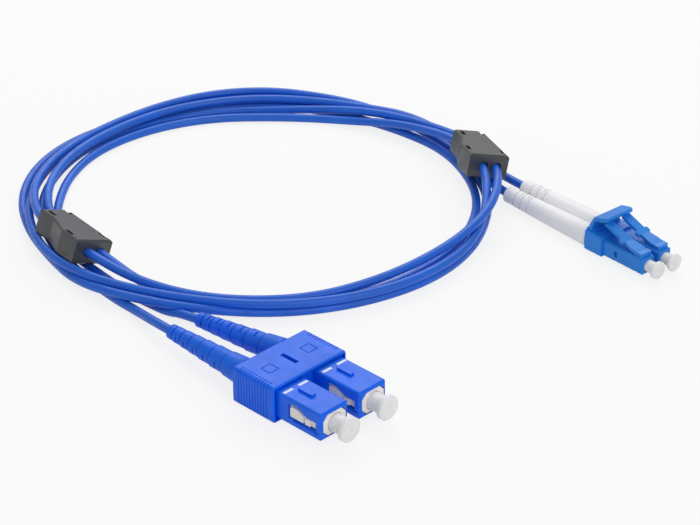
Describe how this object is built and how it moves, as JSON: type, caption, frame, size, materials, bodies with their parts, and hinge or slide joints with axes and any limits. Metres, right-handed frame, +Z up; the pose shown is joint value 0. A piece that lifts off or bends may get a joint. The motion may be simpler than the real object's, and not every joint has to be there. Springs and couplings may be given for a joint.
{
  "type": "duplex fibre optic patch lead",
  "caption": "Coiled fibre patch lead: a push-pull square plug pair in a holder at one end, a latched small plug pair at the other, with cables held side by side by snap clips.",
  "frame": {"origin": "under the middle of the square plug pair, on the surface it lies on", "axes": "+X the way the plugs are pushed in, +Y across the square pair, +Z up"},
  "size_m": [0.1706, 0.1387, 0.0137],
  "materials": {
    "sc_blue": "moulded satin",
    "sc_boot_blue": "soft satin",
    "frame_white": "moulded satin",
    "ceramic_white": "polished ceramic",
    "plated_metal": "nickel plated",
    "spring_steel": "drawn",
    "cap_clear": "translucent moulded",
    "lc_blue": "moulded satin",
    "lc_boot_white": "soft satin",
    "clip_grey": "moulded satin",
    "cable_blue": "satin jacket"
  },
  "bodies": {
    "lead": {"sc_plug_frame_1": "frame_white", "sc_plug_frame_2": "frame_white", "sc_stop_ring_1": "plated_metal", "sc_stop_ring_2": "plated_metal", "sc_crimp_sleeve_1": "plated_metal", "sc_crimp_sleeve_2": "plated_metal", "sc_boot_1": "sc_boot_blue", "sc_boot_2": "sc_boot_blue", "sc_spring_1": "spring_steel", "sc_spring_2": "spring_steel", "lc_duplex_clip": "lc_blue", "lc_housing_1": "lc_blue", "lc_housing_2": "lc_blue", "lc_backbone_1": "lc_blue", "lc_backbone_2": "lc_blue", "lc_crimp_sleeve_1": "plated_metal", "lc_crimp_sleeve_2": "plated_metal", "lc_boot_1": "lc_boot_white", "lc_boot_2": "lc_boot_white", "lc_spring_1": "spring_steel", "lc_spring_2": "spring_steel", "left_clip_base": "clip_grey", "left_clip_cover": "clip_grey", "right_clip_base": "clip_grey", "right_clip_cover": "clip_grey", "cable_coil": "cable_blue", "sc_cable_tail_1": "cable_blue", "sc_cable_tail_2": "cable_blue", "lc_cable_tail_1": "cable_blue", "lc_cable_tail_2": "cable_blue"},
    "sc_coupling": {"sc_duplex_holder": "sc_blue", "sc_sleeve_1": "sc_blue", "sc_sleeve_2": "sc_blue"},
    "sc_ferrule_set_1": {"sc_ferrule_1": "ceramic_white", "sc_flange_1": "plated_metal"},
    "sc_cap_1": {"sc_dust_cap_1": "cap_clear"},
    "sc_ferrule_set_2": {"sc_ferrule_2": "ceramic_white", "sc_flange_2": "plated_metal"},
    "sc_cap_2": {"sc_dust_cap_2": "cap_clear"},
    "lc_ferrule_set_1": {"lc_ferrule_1": "ceramic_white", "lc_flange_1": "plated_metal"},
    "lc_cap_1": {"lc_dust_cap_1": "cap_clear"},
    "lc_ferrule_set_2": {"lc_ferrule_2": "ceramic_white", "lc_flange_2": "plated_metal"},
    "lc_cap_2": {"lc_dust_cap_2": "cap_clear"},
    "lc_trigger": {"lc_trigger": "lc_blue"},
    "lc_latch_1": {"lc_latch_1": "lc_blue"},
    "lc_latch_2": {"lc_latch_2": "lc_blue"}
  },
  "joints": [
    {"name": "sc_coupling_slide", "type": "slide", "parent": "lead", "child": "sc_coupling", "axis": [1, 0, 0], "range_m": [-0.002, 0]},
    {"name": "sc_ferrule_1_slide", "type": "slide", "parent": "lead", "child": "sc_ferrule_set_1", "axis": [1, 0, 0], "range_m": [-0.0015, 0], "stiffness_N_per_m": 1500, "deforming": ["sc_spring_1"]},
    {"name": "sc_cap_1_pull", "type": "slide", "parent": "sc_ferrule_set_1", "child": "sc_cap_1", "axis": [1, 0, 0], "range_m": [0, 0.01]},
    {"name": "sc_ferrule_2_slide", "type": "slide", "parent": "lead", "child": "sc_ferrule_set_2", "axis": [1, 0, 0], "range_m": [-0.0015, 0], "stiffness_N_per_m": 1500, "deforming": ["sc_spring_2"]},
    {"name": "sc_cap_2_pull", "type": "slide", "parent": "sc_ferrule_set_2", "child": "sc_cap_2", "axis": [1, 0, 0], "range_m": [0, 0.01]},
    {"name": "lc_ferrule_1_slide", "type": "slide", "parent": "lead", "child": "lc_ferrule_set_1", "axis": [0.9965, -0.0837, 0], "range_m": [-0.0012, 0], "stiffness_N_per_m": 1200, "deforming": ["lc_spring_1"]},
    {"name": "lc_cap_1_pull", "type": "slide", "parent": "lc_ferrule_set_1", "child": "lc_cap_1", "axis": [0.9965, -0.0837, 0], "range_m": [0, 0.008]},
    {"name": "lc_ferrule_2_slide", "type": "slide", "parent": "lead", "child": "lc_ferrule_set_2", "axis": [0.9965, -0.0837, 0], "range_m": [-0.0012, 0], "stiffness_N_per_m": 1200, "deforming": ["lc_spring_2"]},
    {"name": "lc_cap_2_pull", "type": "slide", "parent": "lc_ferrule_set_2", "child": "lc_cap_2", "axis": [0.9965, -0.0837, 0], "range_m": [0, 0.008]},
    {"name": "lc_trigger_press", "type": "hinge", "parent": "lead", "child": "lc_trigger", "pos_m": [0.01205, 0.10862, 0.0066], "axis": [0.0837, 0.9965, 0], "range_deg": [0, 13], "stiffness_Nm_per_rad": 0.06},
    {"name": "lc_latch_1_press", "type": "hinge", "parent": "lead", "child": "lc_latch_1", "pos_m": [0.02855, 0.11037, 0.0059], "axis": [0.0837, 0.9965, 0], "range_deg": [-8, 0]},
    {"name": "lc_latch_2_press", "type": "hinge", "parent": "lead", "child": "lc_latch_2", "pos_m": [0.02803, 0.10414, 0.0059], "axis": [0.0837, 0.9965, 0], "range_deg": [-8, 0]}
  ],
  "couplings": [
    {"joint": "lc_latch_1_press", "follows": "lc_trigger_press", "ratio": -0.6},
    {"joint": "lc_latch_2_press", "follows": "lc_trigger_press", "ratio": -0.6}
  ]
}
